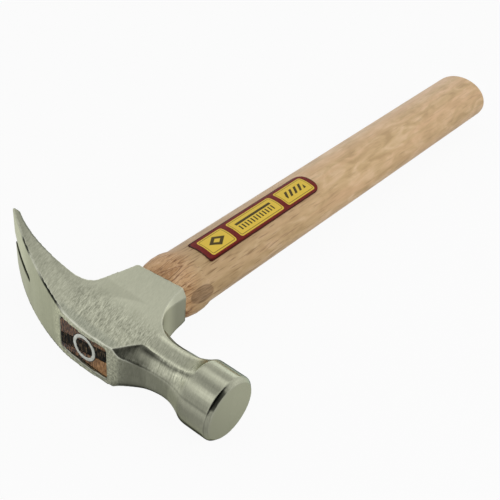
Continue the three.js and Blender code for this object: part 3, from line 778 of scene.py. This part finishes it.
def head_steel(group):
    """Ground and wiped steel: scratched cheeks, a smoother neck and bell, a nail slot blackened by scale
    and painted shade, with painted light and shade on its parts and edges.
    """
    material = new_material("ground forged steel")
    tree = material.node_tree
    at = head_places(tree)
    marks = use_group(tree, group, Vector=placed(tree, SCRATCH_SIZE, SCRATCH_TURN))
    shade = ground_shade(tree, at, marks["Strokes"])
    colour = ramp(tree, shade, [(0.25, DARK_STROKE), (0.75, PALE_STROKE)])
    colour = tinted(tree, colour, tinted(tree, painted_light_bands(tree, at), painted_part_light(tree, at)))
    for finish in (shade_edges, wear_edges, blacken_slot_and_edges):
        colour = finish(tree, at, colour)
    inside = over(tree, at.to_butt, INSIDE_LEAST_TO_BUTT)
    rim = rim_gloss(tree, at, inside)
    tint = mix_colours(tree, times(tree, inside, at.poll), STEEL_TINT, INSIDE_TINT)
    rough = ramp(tree, marks["Patches"], [(0.3, 0.3), (0.7, 0.38)])
    rough = scaled(tree, after(tree, at.along, POLISH), -POLISH_STRENGTH, rough)
    rough = plus(tree, rough, scaled(tree, rim, -RIM_ROUGHER, RIM_ROUGHER))
    surface(
        tree, Base_Color=tinted(tree, colour, rim), Specular_Tint=tinted(tree, tint, rim),
        Metallic=1.0, Roughness=rough, Normal=bump(tree, shade, STEEL_BUMP, STEEL_RELIEF),
    )
    return material


def ring_steel(group):
    """Paler steel with short scratches."""
    material = new_material("driven steel ring")
    tree = material.node_tree
    marks = use_group(tree, group, Vector=placed(tree, RING_SCRATCH_SIZE))
    colour = ramp(tree, marks["Strokes"], [(0.3, (0.5, 0.52, 0.47)), (0.7, (0.8, 0.82, 0.76))])
    relief = bump(tree, marks["Strokes"], RING_BUMP, RING_RELIEF)
    surface(tree, Base_Color=colour, Metallic=1.0, Roughness=0.5, Normal=relief)
    return material


# Wood

def grain_group():
    """Wood along the handle: bands, mottling, fibres and short dark pores."""
    group, given, made = new_group(
        "wood grain", [("Vector", "NodeSocketVector", None)], ["Bands", "Mottle", "Fibres", "Pores"],
    )

    def stretched(size):
        across, along = size
        mapping = add_node(
            group, "ShaderNodeMapping", {"vector_type": "TEXTURE"},
            Vector=given["Vector"], Scale=(across, along, across),
        )
        return mapping.outputs["Vector"]

    pores = noise(group, stretched(PORE_SIZE), detail=1.0)
    group.links.new(noise(group, stretched(BAND_SIZE), distortion=0.6), made["Bands"])
    group.links.new(noise(group, stretched(MOTTLED_SIZE), detail=3.0, distortion=0.8), made["Mottle"])
    group.links.new(noise(group, stretched(FIBRE_SIZE), roughness=0.6), made["Fibres"])
    group.links.new(ramp(group, pores, [(0.58, 0.0), (0.73, 1.0)]), made["Pores"])
    return group


def grip_wood(tree, grain, down_handle):
    """Pale wood, mottled and banded, with pores that fade away from the head."""
    colour = ramp(tree, grain["Mottle"], [
        (0.32, (0.46, 0.305, 0.145)), (0.5, (0.57, 0.39, 0.2)), (0.66, (0.67, 0.475, 0.28)),
    ])
    bands = ramp(tree, grain["Bands"], [(0.42, 0.0), (0.65, 0.6)])
    fibres = ramp(tree, grain["Fibres"], [(0.45, 0.0), (0.8, 0.25)])
    colour = mix_colours(tree, bands, colour, WARM_BAND)
    colour = mix_colours(tree, fibres, colour, DARK_FIBRE)
    near_head = before(tree, down_handle, PORES_NEAR_HEAD)
    strength = scaled(tree, near_head, PORE_STRENGTH_ADDED_NEAR_HEAD, PORE_STRENGTH)
    colour = mix_colours(tree, times(tree, grain["Pores"], strength), colour, PORE)
    return tinted(tree, colour, mix_colours(tree, after(tree, down_handle, LIGHTER_TOWARDS_BUTT), DARKER_TINT, WHITE))


def shoulder_wood(tree, grain, tear):
    """Browner wood with torn fibres and a few growth rings."""
    colour = ramp(tree, grain["Mottle"], [
        (0.32, (0.36, 0.19, 0.08)), (0.52, (0.5, 0.3, 0.145)), (0.7, (0.6, 0.39, 0.22)),
    ])
    colour = mix_colours(tree, times(tree, grain["Pores"], SHOULDER_PORE_STRENGTH), colour, SHOULDER_PORE)
    colour = mix_colours(tree, ramp(tree, tear, [(0.54, 0.0), (0.68, 0.5)]), colour, TORN_DARK)
    colour = mix_colours(tree, ramp(tree, tear, [(0.32, 0.5), (0.44, 0.0)]), colour, TORN_PALE)
    rings = ramp(tree, noise(tree, placed(tree, GROWTH_RING_SIZE, GROWTH_RING_TURN), detail=0.0), [
        (0.31, 0.0), (0.33, 0.9), (0.35, 0.0), (0.43, 0.0), (0.45, 0.9), (0.47, 0.0),
        (0.55, 0.0), (0.57, 0.9), (0.59, 0.0),
    ])
    return mix_colours(tree, rings, colour, GROWTH_RING)


def tenon_end(tree, across, through):
    """Dark streaked end grain, paler on the face's side and most below the wooden wedge."""
    below = scaled(tree, under(tree, through, MIDDLE), PALER_END_ADDED_BELOW, PALER_END_STRENGTH)
    paler = times(tree, after(tree, across, PALER_END), below)
    streaks = noise(tree, placed(tree, END_STREAK_SIZE, END_STREAK_TURN))
    dark = ramp(tree, streaks, [
        (0.42, (0.008, 0.005, 0.004)), (0.5, (0.1, 0.045, 0.024)), (0.6, (0.27, 0.14, 0.068)),
    ])
    pale = ramp(tree, streaks, [
        (0.35, (0.22, 0.1, 0.035)), (0.55, (0.5, 0.26, 0.1)), (0.7, (0.65, 0.38, 0.18)),
    ])
    return mix_colours(tree, paler, dark, pale)


def shoulder_flat(tree, grain, colour):
    """The small flat on the shoulder's side towards the face, painted darker as shade."""
    away = vector_math(tree, "LENGTH", placed(tree, SHOULDER_FLAT_REACH, origin=SHOULDER_FLAT_MIDDLE))
    on_flat = ramp(tree, away["Value"], [(0.86, 1.0), (0.96, 0.0)])
    wood = ramp(tree, grain["Fibres"], [(0.38, (0.29, 0.175, 0.09)), (0.62, (0.15, 0.085, 0.04))])
    # Painted shade on the flat
    return mix_colours(tree, times(tree, on_flat, SHOULDER_FLAT_SHADE), colour, wood)


def handle_wood(group):
    """Pale hickory, browner and torn on the shoulder, with dark end grain in the eye."""
    material = new_material("pale hickory")
    tree = material.node_tree
    grain = use_group(tree, group, Vector=placed(tree))
    across, down_handle, through = parts_of(tree, placed(tree))
    bow = times(tree, math_node(tree, "POWER", across, 2.0), SHOULDER_CREASE_CURVE)
    past_crease = plus(tree, minus(tree, down_handle, SHOULDER_CREASE), bow)
    on_grip = after(tree, past_crease, CREASE_BLEND)
    tear = noise(tree, placed(tree, TEAR_SIZE), detail=3.0, roughness=0.65)
    shoulder = shoulder_wood(tree, grain, tear)
    colour = mix_colours(tree, on_grip, shoulder, grip_wood(tree, grain, down_handle))
    on_side = after(tree, down_handle, TENON_SIDE)
    colour = mix_colours(tree, on_side, tenon_end(tree, across, through), colour)
    colour = shoulder_flat(tree, grain, colour)
    torn = times(tree, tear, minus(tree, 1.0, on_grip))
    height = minus(tree, times(tree, grain["Fibres"], FIBRE_HEIGHT), torn)
    surface(
        tree, Base_Color=colour, Roughness=0.55, Normal=bump(tree, height, WOOD_BUMP, WOOD_RELIEF),
        Specular_IOR_Level=0.3, Sheen_Weight=0.2, Sheen_Roughness=0.35, Sheen_Tint=(1.0, 0.94, 0.9),
    )
    return material


def wedge_wood(group):
    """Almost black wood with a few brown streaks."""
    material = new_material("dark wedge wood")
    tree = material.node_tree
    grain = use_group(tree, group, Vector=placed(tree))
    streaks = noise(tree, placed(tree, WEDGE_STREAK_SIZE, WEDGE_STREAK_TURN))
    colour = ramp(tree, streaks, [
        (0.45, (0.003, 0.004, 0.003)), (0.56, (0.03, 0.022, 0.014)), (0.68, (0.2, 0.14, 0.08)),
    ])
    relief = bump(tree, grain["Fibres"], WEDGE_BUMP, WEDGE_RELIEF)
    surface(tree, Base_Color=colour, Roughness=0.8, Normal=relief, Specular_IOR_Level=0.15)
    return material


# The label

def panel_group():
    """A mask that is 1 inside a rectangle with round corners."""
    group, given, made = new_group(
        "rounded panel",
        [
            ("Vector", "NodeSocketVector", None),
            ("Middle", "NodeSocketVector", (0.0, 0.0, 0.0)),
            ("Half Width", "NodeSocketFloat", 1.0),
            ("Half Length", "NodeSocketFloat", 1.0),
            ("Corner", "NodeSocketFloat", 0.2),
        ],
        ["Mask"],
    )
    offset = vector_math(group, "SUBTRACT", given["Vector"], given["Middle"])[0]
    across, along, _ = parts_of(group, vector_math(group, "ABSOLUTE", offset)[0])

    def past_corner(value, half):
        inner = minus(group, half, given["Corner"])
        past = larger(group, minus(group, value, inner), 0.0)
        return math_node(group, "POWER", past, 2.0)

    reach = plus(group, past_corner(across, given["Half Width"]), past_corner(along, given["Half Length"]))
    left = minus(group, given["Corner"], math_node(group, "SQRT", reach))
    group.links.new(scaled(group, left, PANEL_SHARPNESS, 0.5, clamp=True), made["Mask"])
    return group


def label_print(group):
    """Red printed film with three yellow panels: a diamond, measuring ticks and slanted bars."""
    material = new_material("printed label film")
    tree = material.node_tree
    vector = placed(tree, (MM,) * 3, origin=LABEL_MIDDLE)
    across, along, _ = parts_of(tree, vector)

    def panel(middle_across, middle_along, half_width, half_length, corner):
        return use_group(
            tree, group, Vector=vector, Middle=(middle_across, middle_along, 0.0),
            Half_Width=half_width, Half_Length=half_length, Corner=corner,
        )["Mask"]

    def stripes(value, step, share):
        """A mask of bars, each filling a share of its step."""
        return under(tree, math_node(tree, "FRACT", times(tree, value, 1 / step)), share)

    def inset_panel(place, half_length, inset, corner):
        return panel(PANEL_ACROSS, place, PANEL_HALF_WIDTH - inset, half_length - inset, corner)

    ink = ramp(tree, noise(tree, placed(tree, INK_SIZE), detail=1.0), [(0.35, 0.0), (0.65, 0.35)])
    colour = mix_colours(tree, ink, LABEL_RED, LABEL_WORN_RED)
    printed = panel(0.0, 0.0, PRINT_HALF_WIDTH, PRINT_HALF_LENGTH, PRINT_CORNER)
    colour = mix_colours(tree, printed, LABEL_BORDER, colour)
    for place, half_length in (
        (DIAMOND_PLACE, DIAMOND_PANEL_HALF_LENGTH),
        (RULER_PLACE, RULER_PANEL_HALF_LENGTH),
        (BARS_PLACE, BARS_PANEL_HALF_LENGTH),
    ):
        panel_mask = inset_panel(place, half_length, 0.0, PANEL_CORNER)
        colour = mix_colours(tree, panel_mask, colour, LABEL_YELLOW)
        outside, inside = (inset_panel(place, half_length, *rule) for rule in (RULE_OUTSIDE, RULE_INSIDE))
        rule = math_node(tree, "SUBTRACT", outside, inside, clamp=True)
        colour = mix_colours(tree, times(tree, rule, RULE_STRENGTH), colour, LABEL_DARK)

    from_line = math_node(tree, "ABSOLUTE", minus(tree, across, PANEL_ACROSS))
    from_place = math_node(tree, "ABSOLUTE", minus(tree, along, DIAMOND_PLACE))
    diamond = within(tree, scaled(tree, from_place, DIAMOND_SQUEEZE, from_line), DIAMOND_SPAN)
    ruler = panel(TICKS_ACROSS, RULER_PLACE, TICKS_HALF_WIDTH, RULER_HALF_LENGTH, MARK_CORNER)
    ticks = times(tree, ruler, stripes(along, TICK_STEP, TICK_SHARE))
    line = panel(LINE_ACROSS, RULER_PLACE, LINE_HALF_WIDTH, RULER_HALF_LENGTH, MARK_CORNER)
    slant = scaled(tree, across, BAR_SLANT, along)
    bars = panel(PANEL_ACROSS, BARS_PLACE, BARS_HALF_WIDTH, BARS_HALF_LENGTH, MARK_CORNER)
    bars = times(tree, bars, stripes(slant, BAR_STEP, BAR_SHARE))
    for mark in (diamond, ticks, line, bars):
        colour = mix_colours(tree, times(tree, mark, MARK_STRENGTH), colour, LABEL_DARK)
    surface(tree, Base_Color=colour, Roughness=0.6, Specular_IOR_Level=0.2)
    return material


# Pieces

def mark_wear(piece):
    """Stores how far each point stands out (over a half) or lies in a hollow, for edge wear, painted edge
    highlights and painted shades.
    """
    rounder = piece.copy()
    rounder.data = piece.data.copy()
    bpy.context.collection.objects.link(rounder)
    round_off(rounder, WEAR_ROUNDING)
    wear = piece.data.attributes.new("wear", "FLOAT", "POINT")
    for point, rounded, value in zip(piece.data.vertices, rounder.data.vertices, wear.data):
        stand = (point.co - rounded.co).dot(point.normal)
        value.value = min(max(0.5 + 0.5 * stand / WEAR_DEPTH, 0.0), 1.0)
    bpy.data.objects.remove(rounder)


def flare_share(place):
    """How much a place belongs to the neck's flare into the bell, up to 1."""
    near = FLARE_STEEPNESS - FLARE_STEEPNESS * abs(place.x - FLARE_MIDDLE) / FLARE_REACH
    turn = math.degrees(math.atan2(abs(place.z - MIDDLE), BELL_AXIS - place.y))
    rise = (turn - FLARE_RISE[0]) / (FLARE_RISE[1] - FLARE_RISE[0])
    fall = (FLARE_FALL[1] - turn) / (FLARE_FALL[1] - FLARE_FALL[0])
    return min(near, rise, fall, 1.0)


def make_head(material):
    """The forged head, its edges rounded and its flare into the bell rounded further."""
    piece = solid_copy("head", "forged_head")
    apply_modifier(
        piece, "REMESH", mode="VOXEL", voxel_size=HEAD_GRID, adaptivity=0.0, use_smooth_shade=True,
    )
    round_off(piece, HEAD_ROUNDING)
    flare = piece.vertex_groups.new(name="flare")
    for point in piece.data.vertices:
        share = flare_share(point.co)
        if share > 0:
            flare.add([point.index], share, "REPLACE")
    round_off(piece, FLARE_ROUNDING, vertex_group="flare")
    mark_wear(piece)
    finish_piece(piece, "head", material)


def make_handle(material):
    """The handle, its sides smooth and its tenon's end flat."""
    piece = solid_copy("handle", "hickory_handle")
    smooth_faces(piece, HANDLE_SHARP_ANGLE)
    for face in piece.data.polygons:
        if face.normal.y < TENON_END_NORMAL:
            face.use_smooth = False
    finish_piece(piece, "handle", material)


def make_wedge(material):
    piece = solid_copy("wooden_wedge", "tenon_wedge")
    bevel_edges(piece, WEDGE_BEVEL)
    finish_piece(piece, "wooden_wedge", material)


def make_ring(material):
    piece = solid_copy("ring_wedge", "round_wedge")
    bevel_edges(piece, RING_BEVEL)
    smooth_faces(piece, SHARP_ANGLE)
    finish_piece(piece, "ring_wedge", material)


def make_label(material):
    piece = solid_copy("handle_label", "printed_label")
    smooth_faces(piece, SHARP_ANGLE)
    finish_piece(piece, "handle_label", material)


# Studio

def soft_spot(tree, middle, reach):
    """A soft round spot on the floor: 1 in its middle, 0 from its reach on."""
    coordinates = tree.nodes.new("ShaderNodeTexCoord").outputs["Object"]
    away = vector_math(tree, "DISTANCE", coordinates, middle)["Value"]
    return before(tree, away, (reach, reach))


def floor_paper():
    """Pale paper that keeps the hammer's shadow, and is near white to the camera and in the steel."""
    material = new_material("pale studio floor")
    tree = material.node_tree
    paper = add_node(tree, "ShaderNodeBsdfDiffuse", Color=FLOOR_PAPER)
    glow = add_node(tree, "ShaderNodeEmission", Color=WHITE, Strength=1.0)
    path = tree.nodes.new("ShaderNodeLightPath")
    mirror = FLOOR_WHITE_MIRRORED
    for middle, reach, change in FLOOR_PATCHES:
        mirror = scaled(tree, soft_spot(tree, middle, reach), change, mirror)
    seen = larger(
        tree, times(tree, path.outputs["Is Camera Ray"], FLOOR_WHITE_SEEN),
        times(tree, path.outputs["Is Glossy Ray"], mirror),
    )
    shader = add_node(tree, "ShaderNodeMixShader", i0=seen, i1=paper.outputs[0], i2=glow.outputs[0])
    add_node(tree, "ShaderNodeOutputMaterial", Surface=shader.outputs[0])
    return material


def make_floor():
    bpy.ops.object.select_all(action="DESELECT")
    bpy.ops.mesh.primitive_plane_add(size=FLOOR_SIZE, location=(0.0, 0.0, 0.0))
    floor = bpy.context.object
    floor.name = "studio_floor"
    for point in floor.data.vertices:
        slope = FLOOR_SLOPE_ALONG_HEAD * point.co.x + FLOOR_SLOPE_ALONG_HANDLE * point.co.y
        point.co.z = FLOOR_HEIGHT + slope
    floor.data.materials.append(floor_paper())


def sky_bands(tree, place):
    """Bright and dim bands round the head's axis on the claw's side, which the bell mirrors."""
    round_axis = math_node(tree, "ARCTAN2", place[2], times(tree, place[1], -1.0))
    bands = ramp(tree, scaled(tree, round_axis, 0.5 / math.pi, 0.5), [
        (0.0, 1.0), (0.47, 1.0), (0.515, 0.65), (0.565, 0.65), (0.605, 1.1), (0.647, 1.65), (0.69, 0.8),
        (0.74, 0.55), (0.785, 1.0), (0.827, 1.5), (0.87, 0.75), (0.915, 0.75), (0.955, 1.4), (1.0, 1.35),
    ])
    return mix_colours(tree, before(tree, place[0], SKY_OVER_CLAW), WHITE, bands)


def make_world():
    """An even white studio, with a dim patch and bands that only the lit and mirroring surfaces get."""
    world = bpy.data.worlds.new("soft studio")
    bpy.context.scene.world = world
    world.use_nodes = True
    tree = world.node_tree
    tree.nodes.clear()
    direction = tree.nodes.new("ShaderNodeTexCoord").outputs["Generated"]
    place = parts_of(tree, direction)
    nearness = scaled(tree, vector_math(tree, "DOT_PRODUCT", direction, DIM_PATCH)["Value"], 0.5, 0.5)
    dim = ramp(tree, nearness, [
        (0.0, 1.0), (0.68, 1.0), (0.77, 0.75), (0.83, 0.4), (0.88, 0.12), (0.93, 0.02),
    ])
    dim = mix_colours(tree, after(tree, place[0], SKY_OVER_FACE), WHITE, dim)
    light = tinted(tree, dim, sky_bands(tree, place))
    is_seen = tree.nodes.new("ShaderNodeLightPath").outputs["Is Camera Ray"]
    light = mix_colours(tree, is_seen, light, (STUDIO_WHITE,) * 3)
    back = add_node(tree, "ShaderNodeBackground", Color=light, Strength=STUDIO_WHITE)
    add_node(tree, "ShaderNodeOutputWorld", Surface=back.outputs[0])


def add_lamp():
    """A soft box on the face's side that the steel doesn't mirror."""
    data = bpy.data.lights.new("soft box", "AREA")
    data.shape = "SQUARE"
    data.size = LAMP_SIZE
    data.energy = LAMP_POWER
    lamp = bpy.data.objects.new("soft box", data)
    bpy.context.collection.objects.link(lamp)
    lamp.location = LAMP_PLACE
    lamp.visible_glossy = False
    lamp.rotation_euler = (-Vector(LAMP_PLACE)).to_track_quat("-Z", "Y").to_euler()


def add_camera():
    data = bpy.data.cameras.new("photo camera")
    data.sensor_width = SENSOR_WIDTH
    data.lens = LENS
    data.clip_start = NEAREST_SEEN
    camera = bpy.data.objects.new("photo camera", data)
    bpy.context.collection.objects.link(camera)
    camera.location = CAMERA_PLACE
    camera.rotation_euler = [math.radians(angle) for angle in CAMERA_TURN]
    bpy.context.scene.camera = camera


def main():
    add_camera()
    grinding = grinding_group()
    grain = grain_group()
    make_head(head_steel(grinding))
    make_handle(handle_wood(grain))
    make_wedge(wedge_wood(grain))
    make_ring(ring_steel(grinding))
    make_label(label_print(panel_group()))
    make_floor()
    make_world()
    add_lamp()
    bpy.context.scene.view_settings.view_transform = "Standard"


main()
